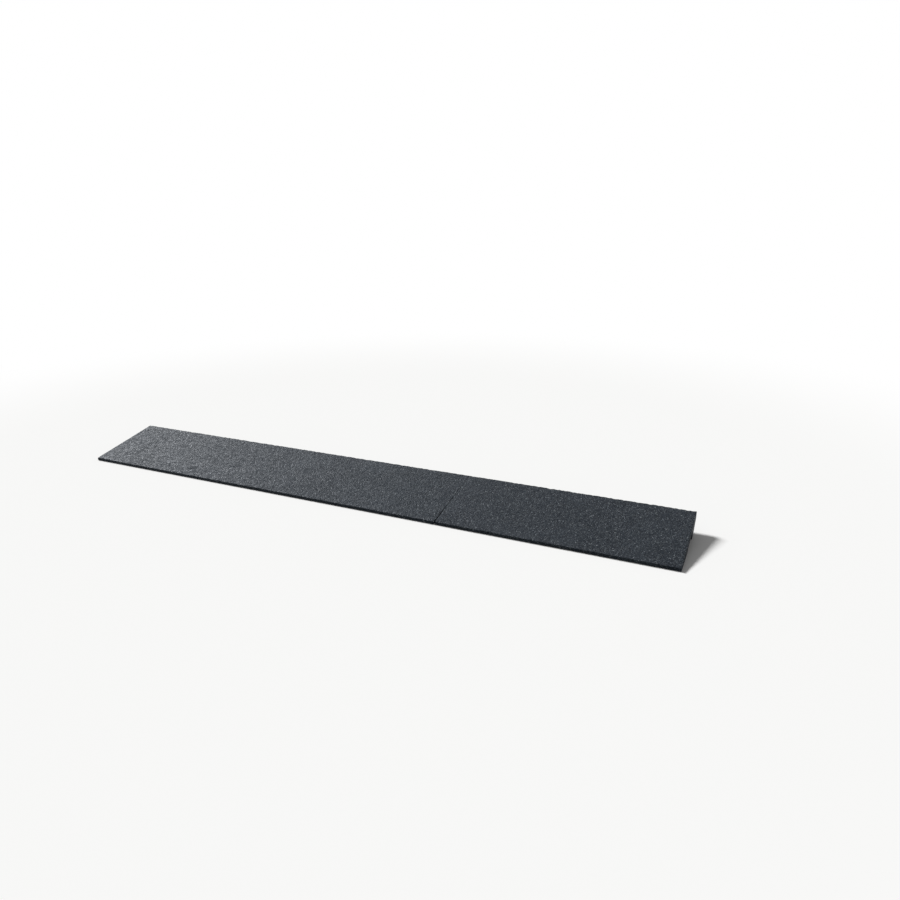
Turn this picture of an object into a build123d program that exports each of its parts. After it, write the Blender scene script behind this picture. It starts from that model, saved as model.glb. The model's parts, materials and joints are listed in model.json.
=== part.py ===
from build123d import *
import os
from math import atan, cos, degrees, radians, sin, tan

# Rubber kerb ramp: a row of equal crumb-rubber sections, pinned end to end, that fills the step of a
# rolled kerb so that a wheel climbs an even slope while rain water still runs along the gutter below.
# X runs along the kerb, the low lip faces -Y, the high edge faces +Y, and the feet stand on Z = 0.

# Driving dimensions, in millimetres and degrees

SECTION_NAMES = ("left", "middle", "right")
SECTION_LENGTH = 1219.0
SEAM_GAP = 1.0

RAMP_DEPTH = 457.0
LIP_HEIGHT = 17.0
REAR_HEIGHT = 104.0
REAR_FACE_HEIGHT = 34.0
KERB_ROLL_ANGLE = 43.0
HEEL_FOOT_WIDTH = 42.0
DRAIN_FRONT_HEIGHT = 19.0
LIP_DRAFT = 4.0
DRAIN_DRAFT = 6.0

DECK_EDGE_RADIUS = 4.0
FOOT_EDGE_RADIUS = 2.5
DRAIN_CORNER_RADIUS = 14.0
END_EDGE_CHAMFER = 1.5

ROD_DIAMETER = 12.0
ROD_TOP_COVER = 13.0
ROD_UNDER_COVER = 11.0
ROD_REAR_COVER = 30.0
RODS_PER_SECTION = 6
ROD_CLEARANCE = 0.1

PIN_DIAMETER = 16.0
PIN_HEIGHT = 18.0
PIN_GRIP = 74.0
PIN_CLEARANCE = 0.3
PIN_END_ROOM = 6.0
PIN_CHAMFER = 1.5
PIN_TO_ROD_COVER = 23.5

# Derived shape of the wedge, with every place along Y counted from the middle of the depth

SLOPE = (REAR_HEIGHT - LIP_HEIGHT) / RAMP_DEPTH
DECK_ANGLE = degrees(atan(SLOPE))
FRONT_Y = -RAMP_DEPTH / 2
REAR_Y = RAMP_DEPTH / 2
ROOF_THICKNESS = ROD_TOP_COVER + ROD_DIAMETER + ROD_UNDER_COVER
ROLL_FOOT_Z = REAR_HEIGHT - REAR_FACE_HEIGHT
HEEL_REAR_Y = REAR_Y - ROLL_FOOT_Z / tan(radians(KERB_ROLL_ANGLE))
HEEL_FRONT_Y = HEEL_REAR_Y - HEEL_FOOT_WIDTH


def deck_z(y: float) -> float:
    """Height of the deck above the feet at a place along the slope."""
    return LIP_HEIGHT + SLOPE * (y - FRONT_Y)


def below_deck_z(y: float, cover: float) -> float:
    """Height of the line that runs under the deck with this much rubber above it, square to the deck."""
    return deck_z(y) - cover / cos(radians(DECK_ANGLE))


def roof_y(height: float) -> float:
    """Where the roof of the drain passage is this high above the feet."""
    return FRONT_Y + (height + ROOF_THICKNESS / cos(radians(DECK_ANGLE)) - LIP_HEIGHT) / SLOPE


# Cross-section of a moulding: lip, deck, rear face, heel on the kerb roll, drain passage, front foot

lip_lean = tan(radians(LIP_DRAFT))
lip_top_y = FRONT_Y + LIP_HEIGHT * lip_lean / (1 - SLOPE * lip_lean)
drain_lean = tan(radians(DRAIN_DRAFT))
roof_front_y = roof_y(DRAIN_FRONT_HEIGHT)
DRAIN_FRONT_Y = roof_front_y - DRAIN_FRONT_HEIGHT * drain_lean
roof_rear_z = below_deck_z(HEEL_FRONT_Y, ROOF_THICKNESS) / (1 + SLOPE * drain_lean)

outline = [
    (FRONT_Y, 0),
    (lip_top_y, deck_z(lip_top_y)),
    (REAR_Y, REAR_HEIGHT),
    (REAR_Y, ROLL_FOOT_Z),
    (HEEL_REAR_Y, 0),
    (HEEL_FRONT_Y, 0),
    (HEEL_FRONT_Y - roof_rear_z * drain_lean, roof_rear_z),
    (roof_front_y, DRAIN_FRONT_HEIGHT),
    (DRAIN_FRONT_Y, 0),
]
outline_radii = [
    FOOT_EDGE_RADIUS,
    DECK_EDGE_RADIUS,
    DECK_EDGE_RADIUS,
    DECK_EDGE_RADIUS,
    FOOT_EDGE_RADIUS,
    FOOT_EDGE_RADIUS,
    DRAIN_CORNER_RADIUS,
    DRAIN_CORNER_RADIUS,
    FOOT_EDGE_RADIUS,
]

# Joining pins lie level, one in the middle of the front foot and one in the middle of the heel

heel_wall_y = HEEL_FRONT_Y - PIN_HEIGHT * drain_lean
roll_face_y = HEEL_REAR_Y + PIN_HEIGHT / tan(radians(KERB_ROLL_ANGLE))
PIN_PLACES = {
    "front": (FRONT_Y + DRAIN_FRONT_Y) / 2,
    "rear": (heel_wall_y + roll_face_y) / 2,
}
SOCKET_RADIUS = PIN_DIAMETER / 2 + PIN_CLEARANCE
SOCKET_DEPTH = PIN_GRIP + PIN_END_ROOM
PIN_LENGTH = 2 * PIN_GRIP + SEAM_GAP

# Reinforcing rods lie along the slope, from where the wedge is thick enough to bury them to the rear face

rod_depth = ROD_TOP_COVER + ROD_DIAMETER / 2
rod_front_y = roof_y(0)
rod_rear_y = REAR_Y - ROD_REAR_COVER
rod_middle_y = (rod_front_y + rod_rear_y) / 2
ROD_LENGTH = (rod_rear_y - rod_front_y) / cos(radians(DECK_ANGLE))
ROD_DIRECTION = (0, cos(radians(DECK_ANGLE)), sin(radians(DECK_ANGLE)))
rod_end_margin = SOCKET_DEPTH + PIN_TO_ROD_COVER + ROD_DIAMETER / 2
ROD_PITCH = (SECTION_LENGTH - 2 * rod_end_margin) / (RODS_PER_SECTION - 1)

SECTION_PITCH = SECTION_LENGTH + SEAM_GAP
section_centres = {
    name: (place - (len(SECTION_NAMES) - 1) / 2) * SECTION_PITCH
    for place, name in enumerate(SECTION_NAMES)
}


def rod_planes(centre_x: float) -> list[Plane]:
    """The middle of each rod of one section, with the plane's normal along the rod."""
    first_x = centre_x - ROD_PITCH * (RODS_PER_SECTION - 1) / 2
    middle_z = below_deck_z(rod_middle_y, rod_depth)
    return [
        Plane(origin=(first_x + number * ROD_PITCH, rod_middle_y, middle_z), z_dir=ROD_DIRECTION)
        for number in range(RODS_PER_SECTION)
    ]


def socket_planes(centre_x: float) -> list[Plane]:
    """The mouth of each pin socket of one section, with the plane's normal out of the end face."""
    return [
        Plane(origin=(centre_x + end * SECTION_LENGTH / 2, pin_y, PIN_HEIGHT), z_dir=(end, 0, 0))
        for end in (-1, 1)
        for pin_y in PIN_PLACES.values()
    ]


os.makedirs("parts", exist_ok=True)

for section_name, centre_x in section_centres.items():

    # One moulding, with blind pin sockets in both end faces and the moulded-in beds of its rods
    with BuildPart() as section:
        with BuildSketch(Plane.YZ.offset(centre_x - SECTION_LENGTH / 2)):
            with BuildLine():
                FilletPolyline(*outline, radius=outline_radii, close=True)
            make_face()
        extrude(amount=SECTION_LENGTH)
        chamfer(section.faces().filter_by(Axis.X).edges(), END_EDGE_CHAMFER)
        with Locations(*socket_planes(centre_x)):
            Hole(SOCKET_RADIUS, SOCKET_DEPTH)
        with Locations(*rod_planes(centre_x)):
            Cylinder(
                ROD_DIAMETER / 2 + ROD_CLEARANCE,
                ROD_LENGTH + 2 * ROD_CLEARANCE,
                mode=Mode.SUBTRACT,
            )
    section.part.label = f"section_{section_name}"
    export_step(section.part, f"parts/{section.part.label}.step")

    # Pultruded fibreglass rods, cut square
    for number, rod_plane in enumerate(rod_planes(centre_x), start=1):
        with BuildPart(rod_plane) as rod:
            Cylinder(ROD_DIAMETER / 2, ROD_LENGTH)
        rod.part.label = f"rod_{section_name}_{number}"
        export_step(rod.part, f"parts/{rod.part.label}.step")

# Steel joining pins, half in each section at a seam, with chamfered ends to start them in the sockets
for side, seam_x in (("left", -SECTION_PITCH / 2), ("right", SECTION_PITCH / 2)):
    for place, pin_y in PIN_PLACES.items():
        with BuildPart(Plane(origin=(seam_x, pin_y, PIN_HEIGHT), z_dir=(1, 0, 0))) as pin:
            Cylinder(PIN_DIAMETER / 2, PIN_LENGTH)
            chamfer(pin.edges().filter_by(GeomType.CIRCLE), PIN_CHAMFER)
        pin.part.label = f"pin_{side}_{place}"
        export_step(pin.part, f"parts/{pin.part.label}.step")
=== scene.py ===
"""Rubber kerb ramp, dressed: crumb-rubber sections, the pins that join them and the rods inside them.

The classes hold their sizes in millimetres and degrees. Meshes and the frame are in metres.
"""

import json
import logging
from dataclasses import dataclass, field
from enum import Enum
from math import atan2, ceil, cos, pi, radians, sin

import bmesh
import bpy
import numpy as np
from mathutils import Matrix, Vector, noise
from mathutils.geometry import delaunay_2d_cdt


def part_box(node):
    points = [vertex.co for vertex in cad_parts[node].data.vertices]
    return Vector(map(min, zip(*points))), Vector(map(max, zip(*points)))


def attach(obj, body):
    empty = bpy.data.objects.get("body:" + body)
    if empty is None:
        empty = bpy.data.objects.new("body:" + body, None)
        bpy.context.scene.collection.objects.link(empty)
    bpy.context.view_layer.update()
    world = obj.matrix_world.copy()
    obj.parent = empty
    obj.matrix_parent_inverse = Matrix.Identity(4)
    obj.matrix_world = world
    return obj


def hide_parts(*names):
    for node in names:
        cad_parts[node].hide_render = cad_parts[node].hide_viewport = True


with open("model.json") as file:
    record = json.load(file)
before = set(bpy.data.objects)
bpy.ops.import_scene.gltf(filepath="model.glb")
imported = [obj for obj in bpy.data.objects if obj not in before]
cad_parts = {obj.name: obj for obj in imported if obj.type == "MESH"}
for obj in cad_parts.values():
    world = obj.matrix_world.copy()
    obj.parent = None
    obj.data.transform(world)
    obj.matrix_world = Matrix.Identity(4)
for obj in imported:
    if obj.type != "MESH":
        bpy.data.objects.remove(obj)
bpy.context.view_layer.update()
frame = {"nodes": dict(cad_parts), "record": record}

MM = 0.001
DECK_MOUNT = "deck"
HOLLOW = "hollow"
log = logging.getLogger("kerb_ramp")

# How an outline is read from a solid
WELD = 0.001  # points nearer than this, in millimetres, are one point
STRAIGHT = 0.01  # a corner whose turn has a smaller sine lies on a straight run
FACES_UP = 0.9  # a run whose normal points up by more belongs to the deck
FACES_DOWN = -0.5  # a run whose normal points up by less belongs to the underside
EDGE_ROOM = 0.75  # share of an edge's radius that it can be pressed in by
EDGE_RAMP = 0.5  # how fast the runs beside an edge gain room, for each unit of distance
LEAST_TURN = 1e-6  # in radians, so that a straight run has plenty of room

# Sockets of a mix node that mixes colours, which share their names with others
COLOUR_A, COLOUR_B, COLOUR_MIXED = 6, 7, 2

# How delaunay_2d_cdt divides an end face
INSIDE_EDGES = 1  # the output that has only the triangles inside the bounding edges
NEARNESS = 0.0001  # points nearer than this, in millimetres, are one point


class Stretch(Enum):
    """Stretches of a section's outline, each with the spacing of the mesh on it in millimetres."""

    DECK = 4.0
    WALL = 5.0
    UNDERSIDE = 9.0

    @classmethod
    def facing(cls, upward: float) -> "Stretch":
        """The stretch that a run belongs to.

        Args:
            upward: How much the run faces up, from -1 to 1.

        Returns:
            The stretch.
        """
        if upward > FACES_UP:
            return cls.DECK
        return cls.UNDERSIDE if upward < FACES_DOWN else cls.WALL


@dataclass(frozen=True)
class Fit:
    """How far an end of a section stands back, in millimetres, and the radius of its edge on the deck.

    Pressed rubber bulges a little along the deck, so neighbours come closest there and part under it.
    """

    at_lip: float
    at_rear: float
    under_deck: float
    deck_edge: float


class EndFit(Enum):
    """How an end meets its neighbour: not at all, pushed home, or pushed home but gaping at the lip."""

    FREE = Fit(at_lip=0.0, at_rear=0.0, under_deck=0.0, deck_edge=2.0)
    TIGHT = Fit(at_lip=-0.3, at_rear=-0.35, under_deck=1.5, deck_edge=0.5)
    OPEN = Fit(at_lip=3.1, at_rear=0.3, under_deck=0.9, deck_edge=0.5)


def linear(colour: str) -> tuple[float, float, float, float]:
    """Turns a colour into the light that a shader works with.

    Args:
        colour: An sRGB hex colour, such as "#25282b".

    Returns:
        Linear red, green and blue, with an alpha of 1.
    """
    channels = [int(colour[start : start + 2], 16) / 255 for start in (1, 3, 5)]
    light = [c / 12.92 if c <= 0.04045 else ((c + 0.055) / 1.055) ** 2.4 for c in channels]
    return (*light, 1.0)


def add_node(
    tree: bpy.types.NodeTree,
    kind: str,
    settings: dict[str, object] | None = None,
    values: dict[str | int, object] | None = None,
    links: dict[str | int, bpy.types.NodeSocket] | None = None,
) -> bpy.types.Node:
    """Adds one node with its settings, its fixed input values and its links.

    Args:
        tree: The node tree that the node joins.
        kind: Blender's name for the kind of node.
        settings: Attributes of the node, by name.
        values: Fixed values of inputs, by socket name or number.
        links: Outputs of other nodes, by the name or number of the input that takes them.

    Returns:
        The new node.
    """
    node = tree.nodes.new(kind)
    for name, setting in (settings or {}).items():
        setattr(node, name, setting)
    for socket, value in (values or {}).items():
        node.inputs[socket].default_value = value
    for socket, source in (links or {}).items():
        tree.links.new(source, node.inputs[socket])
    return node


def deck_plane() -> tuple[Vector, Vector]:
    """A place on the deck, in metres, and the direction that the deck faces, from the mount on it."""
    deck = next(mount for mount in frame["record"]["mounts"] if mount["name"] == DECK_MOUNT)
    return Vector(deck["pos_m"]), Vector(deck["axis"])


def start_material(name: str) -> tuple[bpy.types.Material, bpy.types.NodeTree, bpy.types.NodeSocket]:
    """Starts a node material.

    Args:
        name: Name of the material.

    Returns:
        The material, its emptied node tree and the surface input of its output node.
    """
    material = bpy.data.materials.new(name)
    material.use_nodes = True
    tree = material.node_tree
    tree.nodes.clear()
    output = add_node(tree, "ShaderNodeOutputMaterial")
    return material, tree, output.inputs["Surface"]


def finish_surface(
    tree: bpy.types.NodeTree,
    surface: bpy.types.NodeSocket,
    colour: bpy.types.NodeSocket,
    roughness: bpy.types.NodeSocket,
    height: bpy.types.NodeSocket,
    values: dict[str, object],
) -> None:
    """Joins the colour, the roughness and the relief of a material in one shader.

    Args:
        tree: The material's node tree.
        surface: The surface input of its output node.
        colour: The output that gives the base colour.
        roughness: The output that gives the roughness.
        height: The output that gives the height of the relief, in metres.
        values: Fixed values of the shader's inputs, by socket name.
    """
    bump = add_node(tree, "ShaderNodeBump", values={"Distance": 1.0}, links={"Height": height})
    shader = add_node(
        tree,
        "ShaderNodeBsdfPrincipled",
        values=values,
        links={"Base Color": colour, "Roughness": roughness, "Normal": bump.outputs["Normal"]},
    )
    tree.links.new(shader.outputs["BSDF"], surface)


@dataclass(frozen=True)
class CrumbRubber:
    """Recycled tyre crumb, bound with polyurethane and pressed in a mould.

    The eye sees packed black granules, each with its own grey and gloss, a few pale ones, and a thin
    uneven film of road dust. The hollows between lumps have painted shade, and the lumps painted light.
    """

    granule: float = 6.2  # real crumb is 1 to 4 mm across, and it is drawn coarser so that it shows
    cluster: float = 13.0  # granules clump over two of their widths, so these are drawn coarser as well
    even_mix: float = 1.42  # how strongly a granule stands out from those round it
    neighbour_blend: float = 1.0
    middle_grey: float = 0.5
    clump_tones: tuple[float, float] = (0.93, 1.07)
    clump_polish: float = 0.52  # share of the polish that a whole cluster has in common
    dust_patch: float = 190.0
    dust_detail: float = 4.0
    dust_raggedness: float = 0.6
    dust_onset: tuple[float, float] = (0.38, 0.68)  # levels of the patches where dust begins and is full
    dust_share: float = 0.22
    # Painted light on the lumps and painted shade in the hollows, as factors on the colour
    lump_painted_light: float = 1.12
    hollow_painted_shade: float = 0.55
    granule_dome: float = 0.30  # height of a dome as a share of its width
    cluster_dome: float = 0.10
    roughness: tuple[float, float] = (0.36, 0.84)
    ior: float = 1.5
    specular_level: float = 0.140
    dust: str = "#434950"
    specular_tint: str = "#d6e7ff"
    greys: tuple[tuple[float, str], ...] = (
        (0.00, "#04060a"),
        (0.25, "#0a0e13"),
        (0.60, "#1b2026"),
        (0.90, "#40464b"),
        (0.985, "#5a5f64"),
        (1.00, "#82878b"),
    )

    def material(self) -> bpy.types.Material:
        """Makes the node material.

        Returns:
            The material, laid out in the space of the object that it is on.
        """
        material, tree, surface = start_material("crumb_rubber_pressed")
        place = add_node(tree, "ShaderNodeTexCoord").outputs["Object"]
        granule_scale, cluster_scale = 1 / (self.granule * MM), 1 / (self.cluster * MM)
        granules = add_node(
            tree, "ShaderNodeTexVoronoi", values={"Scale": granule_scale}, links={"Vector": place}
        )
        clusters = add_node(
            tree, "ShaderNodeTexVoronoi", values={"Scale": cluster_scale}, links={"Vector": place}
        )
        around = add_node(
            tree,
            "ShaderNodeTexVoronoi",
            {"feature": "SMOOTH_F1"},
            {"Scale": granule_scale, "Smoothness": self.neighbour_blend},
            {"Vector": place},
        )
        chance, cluster_chance, around_chance = (
            add_node(tree, "ShaderNodeSeparateColor", links={"Color": cells.outputs["Color"]})
            for cells in (granules, clusters, around)
        )

        # The crumb is mixed evenly, so each granule is pale or dark against the blend of those round it
        differ = add_node(
            tree,
            "ShaderNodeMath",
            {"operation": "SUBTRACT"},
            links={0: chance.outputs["Red"], 1: around_chance.outputs["Red"]},
        )
        mixed = add_node(
            tree,
            "ShaderNodeMath",
            {"operation": "MULTIPLY_ADD"},
            {1: self.even_mix, 2: self.middle_grey},
            {0: differ.outputs["Value"]},
        )

        # Each granule has a grey of its own, and the clusters that they clump into shift it
        grey = add_node(tree, "ShaderNodeValToRGB", links={"Fac": mixed.outputs["Value"]})
        stops = grey.color_ramp.elements
        first, *between, last = self.greys
        for stop, (position, colour) in zip(stops, (first, last)):
            stop.position, stop.color = position, linear(colour)
        for position, colour in between:
            stops.new(position).color = linear(colour)
        clump = add_node(
            tree,
            "ShaderNodeMapRange",
            values={"To Min": self.clump_tones[0], "To Max": self.clump_tones[1]},
            links={"Value": cluster_chance.outputs["Red"]},
        )
        toned = add_node(
            tree,
            "ShaderNodeVectorMath",
            {"operation": "SCALE"},
            links={"Vector": grey.outputs["Color"], "Scale": clump.outputs["Result"]},
        )

        # Road dust lies in patches a hand's span wide
        patches = add_node(
            tree,
            "ShaderNodeTexNoise",
            values={
                "Scale": 1 / (self.dust_patch * MM),
                "Detail": self.dust_detail,
                "Roughness": self.dust_raggedness,
            },
            links={"Vector": place},
        )
        film = add_node(
            tree,
            "ShaderNodeMapRange",
            values={
                "From Min": self.dust_onset[0],
                "From Max": self.dust_onset[1],
                "To Max": self.dust_share,
            },
            links={"Value": patches.outputs["Fac"]},
        )
        dusty = add_node(
            tree,
            "ShaderNodeMix",
            {"data_type": "RGBA"},
            {COLOUR_B: linear(self.dust)},
            {"Factor": film.outputs["Result"], COLOUR_A: toned.outputs["Vector"]},
        )

        # Painted shade in the hollows between the lumps of the mesh, and painted light on the lumps
        hollow = add_node(tree, "ShaderNodeAttribute", {"attribute_name": HOLLOW})
        painted_shade = add_node(
            tree,
            "ShaderNodeMapRange",
            values={"To Min": self.lump_painted_light, "To Max": self.hollow_painted_shade},
            links={"Value": hollow.outputs["Fac"]},
        )
        colour = add_node(
            tree,
            "ShaderNodeVectorMath",
            {"operation": "SCALE"},
            links={"Vector": dusty.outputs[COLOUR_MIXED], "Scale": painted_shade.outputs["Result"]},
        )

        # Some granules and clusters are polished by wheels and feet, and others are still dull
        polish = add_node(
            tree,
            "ShaderNodeMix",
            values={"Factor": self.clump_polish},
            links={"A": chance.outputs["Green"], "B": cluster_chance.outputs["Green"]},
        )
        rough = add_node(
            tree,
            "ShaderNodeMapRange",
            values={"To Min": self.roughness[0], "To Max": self.roughness[1]},
            links={"Value": polish.outputs["Result"]},
        )

        # Granules and clusters stand up as domes, with their height in metres
        dome = add_node(
            tree,
            "ShaderNodeMath",
            {"operation": "MULTIPLY"},
            {1: -self.granule * MM * self.granule_dome},
            {0: granules.outputs["Distance"]},
        )
        height = add_node(
            tree,
            "ShaderNodeMath",
            {"operation": "MULTIPLY_ADD"},
            {1: -self.cluster * MM * self.cluster_dome},
            {0: clusters.outputs["Distance"], 2: dome.outputs["Value"]},
        )
        finish_surface(
            tree,
            surface,
            colour.outputs["Vector"],
            rough.outputs["Result"],
            height.outputs["Value"],
            {
                "IOR": self.ior,
                "Specular IOR Level": self.specular_level,
                "Specular Tint": linear(self.specular_tint),
            },
        )
        return material


@dataclass(frozen=True)
class ZincPlatedSteel:
    """Cold-drawn steel bar, cut, chamfered and bright zinc plated.

    The eye sees a cool silver with cloudy patches of passivation and faint drawing lines along the bar.
    """

    draw_line: float = 1.4  # a real drawing line is about 0.2 mm wide, and it is drawn coarser to show
    draw_length: float = 60.0
    cloud: float = 14.0
    noise_detail: float = 3.0
    line_depth: float = 0.03
    line_range: tuple[float, float] = (0.3, 0.7)
    roughness: tuple[float, float] = (0.32, 0.52)
    bright: str = "#b4b9bd"
    cloudy: str = "#8b949b"

    def material(self) -> bpy.types.Material:
        """Makes the node material.

        Returns:
            The material, with its drawing lines along X.
        """
        material, tree, surface = start_material("zinc_plated_steel")
        place = add_node(tree, "ShaderNodeTexCoord").outputs["Object"]
        across = 1 / (self.draw_line * MM)
        drawn = add_node(
            tree,
            "ShaderNodeMapping",
            values={"Scale": (1 / (self.draw_length * MM), across, across)},
            links={"Vector": place},
        )
        lines = add_node(
            tree,
            "ShaderNodeTexNoise",
            values={"Scale": 1.0, "Detail": self.noise_detail},
            links={"Vector": drawn.outputs["Vector"]},
        )
        clouds = add_node(
            tree,
            "ShaderNodeTexNoise",
            values={"Scale": 1 / (self.cloud * MM), "Detail": self.noise_detail},
            links={"Vector": place},
        )
        colour = add_node(
            tree,
            "ShaderNodeMix",
            {"data_type": "RGBA"},
            {COLOUR_A: linear(self.bright), COLOUR_B: linear(self.cloudy)},
            {"Factor": clouds.outputs["Fac"]},
        )
        rough = add_node(
            tree,
            "ShaderNodeMapRange",
            values={
                "From Min": self.line_range[0],
                "From Max": self.line_range[1],
                "To Min": self.roughness[0],
                "To Max": self.roughness[1],
            },
            links={"Value": lines.outputs["Fac"]},
        )
        height = add_node(
            tree,
            "ShaderNodeMath",
            {"operation": "MULTIPLY"},
            {1: self.line_depth * MM},
            {0: lines.outputs["Fac"]},
        )
        finish_surface(
            tree,
            surface,
            colour.outputs[COLOUR_MIXED],
            rough.outputs["Result"],
            height.outputs["Value"],
            {"Metallic": 1.0},
        )
        return material


@dataclass(frozen=True)
class PultrudedFibreglass:
    """Glass rovings drawn through polyester resin and cured in a heated die.

    The eye sees a cream rod with a soft gloss and long pale and honey streaks, where the rovings lie.
    """

    roving: float = 1.5
    streak: float = 90.0
    streak_detail: float = 4.0
    streak_range: tuple[float, float] = (0.35, 0.65)
    streak_relief: float = 0.06
    roughness: tuple[float, float] = (0.30, 0.48)
    ior: float = 1.55
    pale: str = "#d9d3ba"
    honey: str = "#b5a878"

    def material(self, lean: float) -> bpy.types.Material:
        """Makes the node material.

        Args:
            lean: How far the rods lean up from Y towards Z, in radians.

        Returns:
            The material, with its streaks along the rods.
        """
        material, tree, surface = start_material("fibreglass_pultruded")
        place = add_node(tree, "ShaderNodeTexCoord").outputs["Object"]
        levelled = add_node(
            tree, "ShaderNodeMapping", values={"Rotation": (-lean, 0, 0)}, links={"Vector": place}
        )
        across = 1 / (self.roving * MM)
        drawn = add_node(
            tree,
            "ShaderNodeMapping",
            values={"Scale": (across, 1 / (self.streak * MM), across)},
            links={"Vector": levelled.outputs["Vector"]},
        )
        rovings = add_node(
            tree,
            "ShaderNodeTexNoise",
            values={"Scale": 1.0, "Detail": self.streak_detail},
            links={"Vector": drawn.outputs["Vector"]},
        )
        share = add_node(
            tree,
            "ShaderNodeMapRange",
            values={"From Min": self.streak_range[0], "From Max": self.streak_range[1]},
            links={"Value": rovings.outputs["Fac"]},
        )
        colour = add_node(
            tree,
            "ShaderNodeMix",
            {"data_type": "RGBA"},
            {COLOUR_A: linear(self.pale), COLOUR_B: linear(self.honey)},
            {"Factor": share.outputs["Result"]},
        )
        rough = add_node(
            tree,
            "ShaderNodeMapRange",
            values={"To Min": self.roughness[0], "To Max": self.roughness[1]},
            links={"Value": rovings.outputs["Fac"]},
        )
        height = add_node(
            tree,
            "ShaderNodeMath",
            {"operation": "MULTIPLY"},
            {1: self.streak_relief * MM},
            {0: rovings.outputs["Fac"]},
        )
        finish_surface(
            tree,
            surface,
            colour.outputs[COLOUR_MIXED],
            rough.outputs["Result"],
            height.outputs["Value"],
            {"IOR": self.ior},
        )
        return material


@dataclass(frozen=True)
class PressedGrain:
    """How far a pressed crumb surface lies under the mould face that shaped it."""

    lump: float = 8.5
    lump_depth: float = 1.0
    hollow_gain: float = 1.6
    wave: float = 170.0
    wave_depth: float = 0.9
    crumble: float = 21.0
    crumble_depth: float = 3.2
    crumble_reach: float = 9.0
    crumble_base: float = 0.25  # share that is gone where the noise is level
    crumble_detail: float = 0.5
    lip_crumble: float = 0.15  # the lip crumbles by this share of what the rear edge does
    end_crumble: float = 0.35  # the same for the free ends

    def hollow_at(self, place: Vector) -> float:
        """How deep a place lies between the lumps, from 0 on a lump to 1 in a hollow."""
        distances, _ = noise.voronoi(place / (self.lump * MM))
        return min(1.0, distances[0] ** 2 * self.hollow_gain)

    def depth_at(self, place: Vector, hollow: float) -> float:
        """How far the surface lies under the mould face at a place.

        Args:
            place: The place on the mould face, in metres.
            hollow: How deep the place lies between the lumps, from 0 to 1.

        Returns:
            The depth in metres, never negative.
        """
        wave = 0.5 + 0.5 * noise.noise(place / (self.wave * MM))
        return (self.lump_depth * hollow + self.wave_depth * max(0.0, wave)) * MM

    def crumbled_at(self, place: Vector) -> float:
        """How much of an edge has crumbled away.

        Args:
            place: The place on the edge, in metres.

        Returns:
            The depth that is gone, in metres.
        """
        coarse, fine = noise.noise(place / (self.crumble * MM)), noise.noise(place / (self.lump * MM))
        ragged = coarse + self.crumble_detail * fine
        return self.crumble_depth * min(1.0, max(0.0, self.crumble_base + ragged)) * MM


@dataclass(frozen=True)
class Outline:
    """A closed outline across a section, as a ring of points that runs anticlockwise seen from +X.

    Each point has its (y, z) place, its outward normal, the depth that it can be pressed in by, in
    metres, and a mark if it is on the deck.
    """

    places: np.ndarray
    normals: np.ndarray
    room: np.ndarray
    on_deck: np.ndarray

    def __len__(self) -> int:
        """How many points the ring has."""
        return len(self.places)


def cross(first: np.ndarray, second: np.ndarray) -> np.ndarray:
    """The cross product of each (y, z) vector with its partner."""
    return first[:, 0] * second[:, 1] - first[:, 1] * second[:, 0]


def loops_across(node: str, x: float) -> list[np.ndarray]:
    """Cuts a copy of a CAD node's mesh across the row.

    Args:
        node: Name of the node.
        x: Where the cut lies, in metres.

    Returns:
        The (y, z) corners of each closed outline in the cut, the longest outline first, each of them
        anticlockwise seen from +X.
    """
    copy = bmesh.new()
    copy.from_mesh(frame["nodes"][node].data)
    bmesh.ops.remove_doubles(copy, verts=copy.verts, dist=WELD * MM)
    bmesh.ops.bisect_plane(
        copy,
        geom=[*copy.verts, *copy.edges, *copy.faces],
        plane_co=(x, 0, 0),
        plane_no=(1, 0, 0),
        clear_inner=True,
        clear_outer=True,
    )
    loops, walked = [], set()
    for first in copy.verts:
        if first in walked:
            continue
        loop, corner = [], first
        while corner is not None:
            walked.add(corner)
            loop.append((corner.co.y, corner.co.z))
            ahead = [edge.other_vert(corner) for edge in corner.link_edges]
            corner = next((vertex for vertex in ahead if vertex not in walked), None)
        loops.append(np.array(loop))
    copy.free()
    ordered = []
    for loop in loops:
        area = np.sum(cross(loop, np.roll(loop, -1, axis=0)))
        ordered.append(loop if area > 0 else loop[::-1])
    return sorted(ordered, key=lambda loop: -np.ptp(loop, axis=0).sum())


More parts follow.
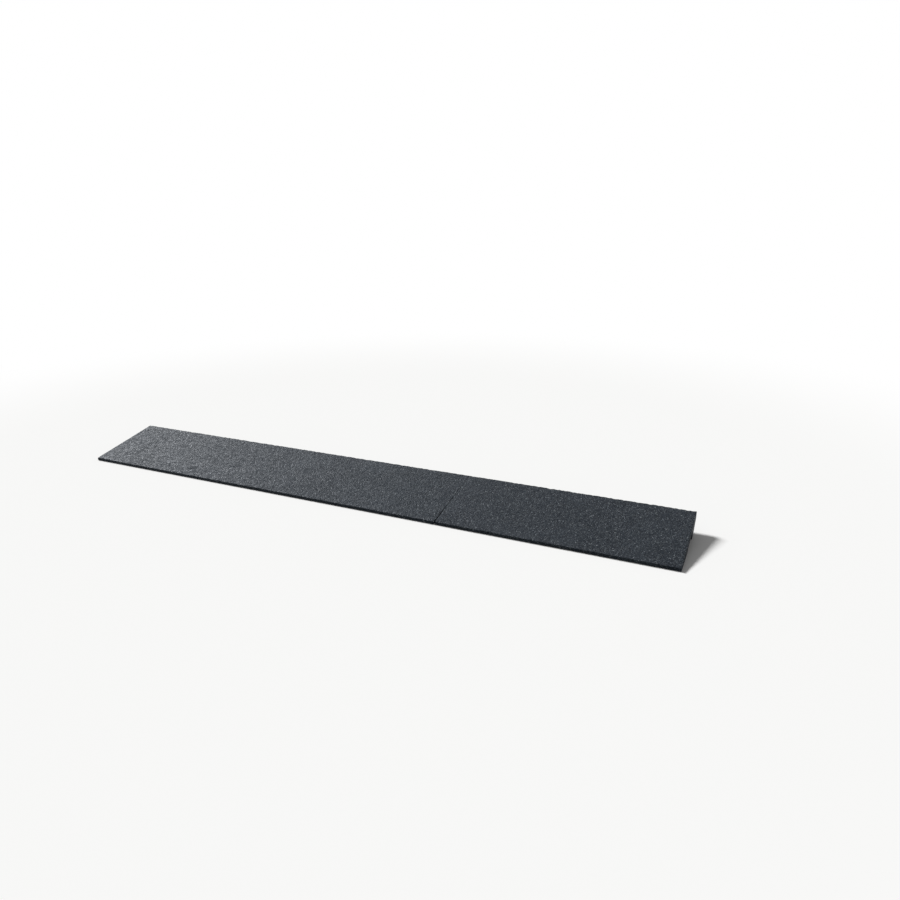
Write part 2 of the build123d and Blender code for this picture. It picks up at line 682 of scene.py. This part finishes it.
def fine_outline(corners: np.ndarray) -> Outline:
    """Divides the runs of an outline as finely as each stretch of it needs.

    Args:
        corners: The (y, z) corners of the outline, anticlockwise seen from +X.

    Returns:
        The divided outline.
    """
    start = np.lexsort((corners[:, 1], corners[:, 0]))[0]
    corners = np.roll(corners, -start, axis=0)
    run_in, run_out = corners - np.roll(corners, 1, axis=0), np.roll(corners, -1, axis=0) - corners
    reach = np.linalg.norm(run_in, axis=1) * np.linalg.norm(run_out, axis=1)
    corners = corners[np.abs(cross(run_in, run_out)) > STRAIGHT * reach]
    places, on_deck = [], []
    for here, there in zip(corners, np.roll(corners, -1, axis=0)):
        run = there - here
        length = np.linalg.norm(run)
        stretch = Stretch.facing(-run[0] / length)
        parts = ceil(length / (stretch.value * MM))
        places += [here + run * part / parts for part in range(parts)]
        on_deck += [stretch is Stretch.DECK] * parts
    ring = np.array(places)
    run_in, run_out = ring - np.roll(ring, 1, axis=0), np.roll(ring, -1, axis=0) - ring
    along = run_in + run_out
    along /= np.linalg.norm(along, axis=1)[:, None]
    normals = np.column_stack((along[:, 1], -along[:, 0]))

    # A rounded edge can be pressed in by less than its radius, and the runs beside it follow it
    length = (np.linalg.norm(run_in, axis=1) + np.linalg.norm(run_out, axis=1)) / 2
    turn = np.arctan2(cross(run_in, run_out), np.sum(run_in * run_out, axis=1))
    room = EDGE_ROOM * length / np.maximum(turn, LEAST_TURN)
    apart = np.linalg.norm(ring[:, None] - ring[None], axis=2)
    return Outline(ring, normals, np.min(room[None] + EDGE_RAMP * apart, axis=1), np.array(on_deck))


@dataclass
class MeshDraft:
    """A mesh in the making: its points, how deep each of them lies between lumps, and its faces."""

    points: list[Vector] = field(default_factory=list)
    hollows: list[float] = field(default_factory=list)
    faces: list[tuple[int, ...]] = field(default_factory=list)

    def add_point(self, place: Vector, hollow: float) -> int:
        """Adds a point.

        Args:
            place: Where the point lies, in metres.
            hollow: How deep it lies between the lumps, from 0 to 1.

        Returns:
            The number of the point.
        """
        self.points.append(place)
        self.hollows.append(hollow)
        return len(self.points) - 1

    def add_face(self, face: tuple[int, ...], outward: int = 1) -> None:
        """Adds a face.

        Args:
            face: The points of the face, in the order that suits a right end.
            outward: -1 at a left end, where the order is turned round, and otherwise 1.
        """
        self.faces.append(face if outward > 0 else face[::-1])

    def mesh(self, name: str) -> bpy.types.Mesh:
        """Makes the mesh, with smooth shading.

        Args:
            name: Name of the mesh.

        Returns:
            The mesh, with the hollow attribute that its material reads for painted shade.
        """
        mesh = bpy.data.meshes.new(name)
        mesh.from_pydata(self.points, [], self.faces)
        mesh.polygons.foreach_set("use_smooth", np.ones(len(self.faces), dtype=bool))
        mesh.attributes.new(HOLLOW, "FLOAT", "POINT").data.foreach_set("value", self.hollows)
        mesh.update()
        return mesh


@dataclass
class RampSection:
    """One crumb-rubber moulding, meshed over the outline of its solid and roughened under that face."""

    name: str
    left_end: EndFit
    right_end: EndFit
    grain: PressedGrain = field(default_factory=PressedGrain)
    station_step: float = 4.0
    station_shake: float = 0.25  # share of a step that a point strays along the section
    end_round: float = 2.0
    end_round_reach: float = 12.0  # where the end's edge is fully round, away from the deck
    end_round_steps: int = 4
    end_step: float = 8.0
    end_shake: float = 0.3  # share of a step that a point strays in an end face
    end_clear: float = 0.55  # share of a step that is kept free along the edges of an end face
    fit_reach: float = 70.0  # how far along the section the fit of an end is felt
    fit_curve: float = 2.4  # how much of the gap at a seam is kept for the lip
    under_reach: float = 14.0  # how far under the deck the ends have parted in full
    socket_cut: float = 10.0  # how far inside an end its sockets are measured
    socket_depth: float = 80.0
    socket_sides: int = 28
    socket_step: float = 10.0
    socket_mouth: float = 1.2
    # Painted shade in the sockets: their points take this hollow level, which darkens the rubber there
    socket_painted_shade: float = 0.6
    lip_inward: tuple[float, float] = (0.75, -0.66)  # the way in (y, z) that a crumbled lip draws back
    rear_inward: tuple[float, float] = (-0.64, -0.77)  # the same for the rear edge of the deck
    node: str = field(init=False)
    low: Vector = field(init=False)
    high: Vector = field(init=False)
    deck_place: Vector = field(init=False)
    deck_faces: Vector = field(init=False)

    def __post_init__(self) -> None:
        """Takes the section's place from the CAD node that it stands for."""
        self.node = f"section_{self.name}"
        self.low, self.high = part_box(self.node)
        self.deck_place, self.deck_faces = deck_plane()

    def stations(self, outline: Outline) -> tuple[np.ndarray, np.ndarray]:
        """Where the outline is repeated along the section.

        Args:
            outline: The outline of the section.

        Returns:
            The place of each point along X and how far it is drawn in at the rounded ends, in metres,
            ring by ring.
        """
        apart = np.linalg.norm(outline.places[:, None] - outline.places[outline.on_deck][None], axis=2)
        off_deck = np.minimum(1, apart.min(axis=1) / (self.end_round_reach * MM))
        turn = np.linspace(0, pi / 2, self.end_round_steps + 1)[:, None]
        offset, depth = MM * (1 - np.cos(turn)), MM * (1 - np.sin(turn))
        left, right = (
            end.value.deck_edge + (self.end_round - end.value.deck_edge) * off_deck
            for end in (self.left_end, self.right_end)
        )
        inner_low, inner_high = self.low.x + self.end_round * MM, self.high.x - self.end_round * MM
        count = round((inner_high - inner_low) / (self.station_step * MM))
        between = np.linspace(inner_low, inner_high, count + 1)[1:-1, None] + np.zeros(len(outline))
        places = (self.low.x + left * offset, between, self.high.x - right * offset[::-1])
        depths = (left * depth, np.zeros_like(between), right * depth[::-1])
        return np.concatenate(places), np.concatenate(depths)

    def build(self) -> bpy.types.Object:
        """Builds the mesh of the section.

        Returns:
            The new piece, in the row frame.
        """
        outline = fine_outline(loops_across(self.node, (self.low.x + self.high.x) / 2)[0])
        draft = MeshDraft()
        rings = self.add_skin(draft, outline)
        for ring, following in zip(rings, rings[1:]):
            for here, after in zip(range(len(outline)), [*range(1, len(outline)), 0]):
                draft.add_face((ring[here], ring[after], following[after], following[here]))
        self.add_end(draft, list(rings[0]), -1, self.low.x)
        self.add_end(draft, list(rings[-1]), 1, self.high.x)
        piece = bpy.data.objects.new(f"{self.name}_section_rubber", draft.mesh(self.node))
        bpy.context.scene.collection.objects.link(piece)
        return piece

    def set_back(self, place: Vector) -> float:
        """How far a place moves along X where an end stands back from its neighbour.

        Args:
            place: The place on the mould face, in metres.

        Returns:
            The move in metres, towards the middle of the section.
        """
        to_lip = (self.high.y - place.y) / (self.high.y - self.low.y)
        opened = min(1.0, max(0.0, to_lip)) ** self.fit_curve
        below = (self.deck_place - place).dot(self.deck_faces) / (self.under_reach * MM)
        under = min(1.0, max(0.0, below))
        move = 0.0
        for fit, sign, to_end in (
            (self.left_end.value, 1, place.x - self.low.x),
            (self.right_end.value, -1, self.high.x - place.x),
        ):
            near = max(0.0, 1 - to_end / (self.fit_reach * MM))
            back = fit.at_rear + (fit.at_lip - fit.at_rear) * opened + fit.under_deck * under
            move += sign * near * back
        return move * MM

    def add_skin(self, draft: MeshDraft, outline: Outline) -> list[range]:
        """Adds the rings of points that run round the section, station by station.

        Args:
            draft: The mesh that gains the points.
            outline: The outline of the section.

        Returns:
            The points of each ring.
        """
        stations, drawn_in = self.stations(outline)
        deck = outline.places[outline.on_deck]
        reach = self.grain.crumble_reach * MM
        lip, rear = deck[deck[:, 0].argmin()], deck[deck[:, 0].argmax()]
        near_lip = np.clip(1 - np.linalg.norm(outline.places - lip, axis=1) / reach, 0, 1)
        near_rear = np.clip(1 - np.linalg.norm(outline.places - rear, axis=1) / reach, 0, 1)
        edges = near_lip * self.grain.lip_crumble + near_rear
        inward = np.where((near_rear > 0)[:, None], self.rear_inward, self.lip_inward)
        chance = np.random.default_rng(len(self.name))  # each section has a seed of its own
        shake = chance.uniform(-self.station_shake, self.station_shake, stations.shape)
        rings = []
        for along, insets, shakes in zip(stations, drawn_in, shake):
            rings.append(range(len(draft.points), len(draft.points) + len(outline)))
            to_left, to_right = along.mean() - self.low.x, self.high.x - along.mean()
            to_end = min(to_left, to_right)
            fit = self.left_end if to_left < to_right else self.right_end
            end_crumble = self.grain.end_crumble if fit is EndFit.FREE else 0.0
            near_end = max(0.0, 1 - to_end / reach) * end_crumble
            step = self.station_step * MM if to_end > self.station_step * MM else 0.0
            for point, move in enumerate(shakes):
                place = Vector((along[point] + move * step, *outline.places[point]))
                hollow = self.grain.hollow_at(place)
                depth = self.grain.depth_at(place, hollow) + insets[point]
                if near_end > 0 and outline.on_deck[point]:
                    depth += near_end * self.grain.crumbled_at(place)
                lie = outline.places[point] - outline.normals[point] * min(depth, outline.room[point])
                if edges[point] > 0:
                    lie = lie + inward[point] * edges[point] * self.grain.crumbled_at(place)
                draft.add_point(Vector((place.x + self.set_back(place), *lie)), hollow)
        return rings

    def end_grid(self, edges: np.ndarray) -> list[tuple[float, float]]:
        """Strews points over an end face, on a shaken grid.

        Args:
            edges: The (y, z) points of the edges that the new points keep clear of, in metres.

        Returns:
            The (y, z) places of the new points, in metres, some of them outside the face.
        """
        step = self.end_step * MM
        across, up = np.arange(self.low.y, self.high.y, step), np.arange(self.low.z, self.high.z, step)
        grid = np.stack(np.meshgrid(across, up), axis=-1).reshape(-1, 2)
        chance = np.random.default_rng(len(self.name))
        grid += chance.uniform(-self.end_shake, self.end_shake, grid.shape) * step
        gap = np.min(np.linalg.norm(grid[:, None] - edges[None], axis=2), axis=1)
        return [tuple(point) for point in grid[gap > self.end_clear * step]]

    def add_end(self, draft: MeshDraft, rim: list[int], outward: int, end_x: float) -> None:
        """Adds an end face with its blind pin sockets.

        Args:
            draft: The mesh that gains the face.
            rim: The points of the ring that the end face closes.
            outward: -1 at the left end and 1 at the right end.
            end_x: Where the end face lies along X, in metres.
        """
        loops, mouths = [rim], []
        for across in loops_across(self.node, end_x - outward * self.socket_cut * MM)[1:]:
            centre = (across.max(axis=0) + across.min(axis=0)) / 2
            radius = np.ptp(across, axis=0).mean() / 2
            loops.append(self.add_socket(draft, centre, radius, outward, end_x))
            mouths.append((Vector(centre), radius + self.socket_mouth * MM))

        # The face is divided between its rim and the mouths of its sockets
        known, bounds = [], []
        for loop in loops:
            first, count = len(known), len(loop)
            bounds += [(first + point, first + (point + 1) % count) for point in range(count)]
            known += loop
        flat = [(draft.points[point].y, draft.points[point].z) for point in known]
        flat += self.end_grid(np.array(flat))
        corners, _, triangles, sources, _, _ = delaunay_2d_cdt(
            [Vector(point) / MM for point in flat], bounds, [], INSIDE_EDGES, NEARNESS
        )
        numbers: dict[int, int] = {}
        for triangle in triangles:
            middle = sum((corners[corner] for corner in triangle), Vector((0, 0))) * MM / len(triangle)
            if any((middle - centre).length < reach for centre, reach in mouths):
                continue
            for corner in triangle:
                source = sources[corner][0]
                if source < len(known):
                    numbers[corner] = known[source]
                elif corner not in numbers:
                    place = Vector((end_x, *(corners[corner] * MM)))
                    hollow = self.grain.hollow_at(place)
                    place.x += self.set_back(place)
                    place.x -= outward * self.grain.lump_depth * MM * hollow
                    numbers[corner] = draft.add_point(place, hollow)
            draft.add_face(tuple(numbers[corner] for corner in triangle), outward)

    def add_socket(
        self, draft: MeshDraft, centre: np.ndarray, radius: float, outward: int, end_x: float
    ) -> list[int]:
        """Adds the wall and the bottom of a blind pin socket.

        Args:
            draft: The mesh that gains the socket.
            centre: The (y, z) place of the socket's axis, in metres.
            radius: The radius of the socket, in metres.
            outward: -1 at the left end and 1 at the right end.
            end_x: Where the end face lies along X, in metres.

        Returns:
            The points of the socket's mouth, anticlockwise seen from +X.
        """
        mouth_x = self.set_back(Vector((end_x, *centre)))
        mouth = self.socket_mouth * MM
        deep = np.arange(self.socket_mouth, self.socket_depth, self.socket_step) * MM
        depths = [0.0, *deep, self.socket_depth * MM]
        radii = [radius + mouth, *([radius] * (len(depths) - 1))]
        rings = []
        for depth, reach in zip(depths, radii):
            ring = []
            for side in range(self.socket_sides):
                angle = 2 * pi * side / self.socket_sides
                y, z = centre[0] + reach * cos(angle), centre[1] + reach * sin(angle)
                x = end_x + (mouth_x if depth == 0 else 0) - outward * depth
                # The socket's points carry a level of painted shade, which darkens them
                ring.append(draft.add_point(Vector((x, y, z)), self.socket_painted_shade))
            rings.append(ring)
        for outer, inner in zip(rings, rings[1:]):
            for side in range(self.socket_sides):
                after = (side + 1) % self.socket_sides
                draft.add_face((outer[side], outer[after], inner[after], inner[side]), outward)
        draft.add_face(tuple(rings[-1]), outward)
        return rings[0]

    def dress(self, piece: bpy.types.Object, rubber: bpy.types.Material) -> None:
        """Gives the section its finish and its place on the CAD model.

        Args:
            piece: The section's piece.
            rubber: The crumb-rubber material.
        """
        piece.data.materials.append(rubber)
        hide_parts(self.node)
        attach(piece, self.name)


@dataclass
class HiddenSteelAndGlass:
    """The joining pins and the reinforcing rods, which keep the meshes of their solids."""

    pin_prefix: str = "pin_"
    rod_prefix: str = "rod_"

    def nodes(self, prefix: str) -> list[bpy.types.Object]:
        """The CAD nodes whose names start with a prefix."""
        return [frame["nodes"][name] for name in sorted(frame["nodes"]) if name.startswith(prefix)]

    def rod_lean(self) -> float:
        """How far the rods lean up the slope, in radians, from the direction that the deck faces."""
        _, faces = deck_plane()
        return atan2(-faces.y, faces.z)

    def dress(self) -> list[bpy.types.Object]:
        """Gives the pins and the rods their finishes.

        Returns:
            The dressed nodes.
        """
        dressed = []
        finishes = (
            (self.pin_prefix, "pin_steel", ZincPlatedSteel().material()),
            (self.rod_prefix, "fibreglass", PultrudedFibreglass().material(self.rod_lean())),
        )
        for prefix, slot, material in finishes:
            for node in self.nodes(prefix):
                node.data.materials.clear()
                node.data.materials.append(material)
                dressed.append(node)
        return dressed


@dataclass(frozen=True)
class Studio:
    """A plain pale floor, soft light and the camera."""

    floor_reach: float = 60000.0
    floor_colour: str = "#f8f8f7"
    floor_bounce: str = "#a8a8a6"
    fade_start: float = 2600.0
    fade_end: float = 5200.0
    key_height: float = 36.0
    key_behind: float = 20.0
    key_spread: float = 14.0
    key_level: float = 4.15
    fill: float = 0.22
    camera_place: tuple[float, float, float] = (2097.2, -3157.2, 1581.5)
    camera_aim: tuple[float, float, float] = (279.3, 672.2, 62.0)
    camera_roll: float = 0.952
    lens: float = 28.341

    def build(self) -> None:
        """Builds the floor, the lights and the camera."""
        self.build_floor()
        self.build_world()
        self.build_key()
        self.build_camera()
        bpy.context.scene.view_settings.view_transform = "Standard"

    def seen_directly(self, tree: bpy.types.NodeTree) -> bpy.types.NodeSocket:
        """Tells rays that show the background, straight or mirrored, from those that light the object.

        Args:
            tree: The node tree to add the test to.

        Returns:
            A socket that is 1 for camera, glossy and transmission rays.
        """
        path = add_node(tree, "ShaderNodeLightPath")
        mirrored = add_node(
            tree,
            "ShaderNodeMath",
            {"operation": "MAXIMUM"},
            links={0: path.outputs["Is Camera Ray"], 1: path.outputs["Is Glossy Ray"]},
        )
        seen = add_node(
            tree,
            "ShaderNodeMath",
            {"operation": "MAXIMUM"},
            links={0: mirrored.outputs["Value"], 1: path.outputs["Is Transmission Ray"]},
        )
        return seen.outputs["Value"]

    def build_floor(self) -> None:
        """Lays the floor, which turns white away from the object."""
        reach = self.floor_reach * MM
        corners = [(-reach, -reach, 0), (reach, -reach, 0), (reach, reach, 0), (-reach, reach, 0)]
        mesh = bpy.data.meshes.new("floor")
        mesh.from_pydata(corners, [], [tuple(range(len(corners)))])
        floor = bpy.data.objects.new("floor", mesh)
        bpy.context.scene.collection.objects.link(floor)
        material, tree, surface = start_material("floor_pale_matt")
        seen = self.seen_directly(tree)
        place = add_node(tree, "ShaderNodeTexCoord").outputs["Object"]
        away = add_node(tree, "ShaderNodeVectorMath", {"operation": "LENGTH"}, links={0: place})
        fade = add_node(
            tree,
            "ShaderNodeMapRange",
            {"interpolation_type": "SMOOTHSTEP"},
            {"From Min": self.fade_start * MM, "From Max": self.fade_end * MM},
            {"Value": away.outputs["Value"]},
        )
        share = add_node(
            tree,
            "ShaderNodeMath",
            {"operation": "MULTIPLY"},
            links={0: fade.outputs["Result"], 1: seen},
        )
        colour = add_node(
            tree,
            "ShaderNodeMix",
            {"data_type": "RGBA"},
            {COLOUR_A: linear(self.floor_bounce), COLOUR_B: linear(self.floor_colour)},
            {"Factor": seen},
        )
        matt = add_node(tree, "ShaderNodeBsdfDiffuse", links={"Color": colour.outputs[COLOUR_MIXED]})
        white = add_node(tree, "ShaderNodeEmission", values={"Strength": 1.0})
        mix = add_node(
            tree,
            "ShaderNodeMixShader",
            links={0: share.outputs["Value"], 1: matt.outputs["BSDF"], 2: white.outputs["Emission"]},
        )
        tree.links.new(mix.outputs["Shader"], surface)
        mesh.materials.append(material)

    def build_world(self) -> None:
        """Surrounds the object with an even fill that shows as white."""
        world = bpy.data.worlds.new("studio")
        bpy.context.scene.world = world
        world.use_nodes = True
        tree = world.node_tree
        tree.nodes.clear()
        level = add_node(
            tree,
            "ShaderNodeMapRange",
            values={"To Min": self.fill, "To Max": 1.0},
            links={"Value": self.seen_directly(tree)},
        )
        sky = add_node(
            tree,
            "ShaderNodeBackground",
            values={"Color": (1, 1, 1, 1)},
            links={"Strength": level.outputs["Result"]},
        )
        output = add_node(tree, "ShaderNodeOutputWorld", links={"Surface": sky.outputs["Background"]})
        output.is_active_output = True

    def build_key(self) -> None:
        """Hangs the soft key light past the left end of the row and a little behind it."""
        lamp = bpy.data.lights.new("key", "SUN")
        lamp.angle = radians(self.key_spread)
        lamp.energy = self.key_level
        key = bpy.data.objects.new("key", lamp)
        height, behind = radians(self.key_height), radians(self.key_behind)
        towards = Vector((-cos(height) * cos(behind), cos(height) * sin(behind), sin(height)))
        key.rotation_euler = towards.to_track_quat("Z", "Y").to_euler()
        bpy.context.scene.collection.objects.link(key)

    def build_camera(self) -> None:
        """Sets the camera where the view of the deck, corner by corner, puts it."""
        lens = bpy.data.cameras.new("camera")
        lens.lens = self.lens
        camera = bpy.data.objects.new("camera", lens)
        place, aim = Vector(self.camera_place) * MM, Vector(self.camera_aim) * MM
        turn = (aim - place).to_track_quat("-Z", "Y").to_matrix()
        roll = Matrix.Rotation(radians(self.camera_roll), 3, aim - place)
        camera.matrix_world = Matrix.Translation(place) @ (roll @ turn).to_4x4()
        bpy.context.scene.collection.objects.link(camera)
        bpy.context.scene.camera = camera


def main() -> None:
    """Builds and dresses the row, piece by piece, and sets up the studio."""
    logging.basicConfig(level=logging.INFO, format="%(name)s: %(message)s")
    rubber = CrumbRubber().material()
    row = (
        RampSection("left", EndFit.FREE, EndFit.TIGHT),
        RampSection("middle", EndFit.TIGHT, EndFit.OPEN),
        RampSection("right", EndFit.OPEN, EndFit.FREE),
    )
    for section in row:
        piece = section.build()
        section.dress(piece, rubber)
        log.info("%s: %d faces", piece.name, len(piece.data.polygons))
    for node in HiddenSteelAndGlass().dress():
        log.info("%s: %s", node.name, node.data.materials[0].name)
    Studio().build()


if __name__ == "__main__":
    main()
